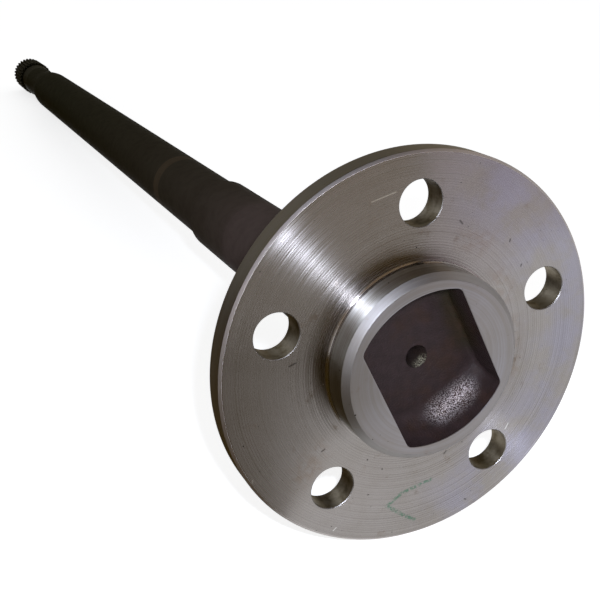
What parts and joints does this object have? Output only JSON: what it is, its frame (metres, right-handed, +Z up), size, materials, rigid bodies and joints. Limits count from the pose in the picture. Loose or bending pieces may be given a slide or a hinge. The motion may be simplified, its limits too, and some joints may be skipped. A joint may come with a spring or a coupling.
{
  "type": "axle shaft",
  "caption": "Drive axle shaft with a round wheel flange, a raised wheel pilot with a forged pocket, a bearing journal, a plain body and a splined inboard end.",
  "frame": {"origin": "middle of the underside of the part's box, on the surface that it lies on", "axes": "+Z up; the shaft lies along Y with its wheel face towards -Y and 4.1 degrees above the level, on the flange's rim and the tips of the splines, with one stud hole at the top"},
  "size_m": [0.1514, 0.845, 0.1515],
  "materials": {
    "steel": "turned wheel face and rim, as-forged pocket, dark oiled shaft"
  },
  "bodies": {
    "root": {"axle_shaft": "steel"}
  },
  "joints": []
}
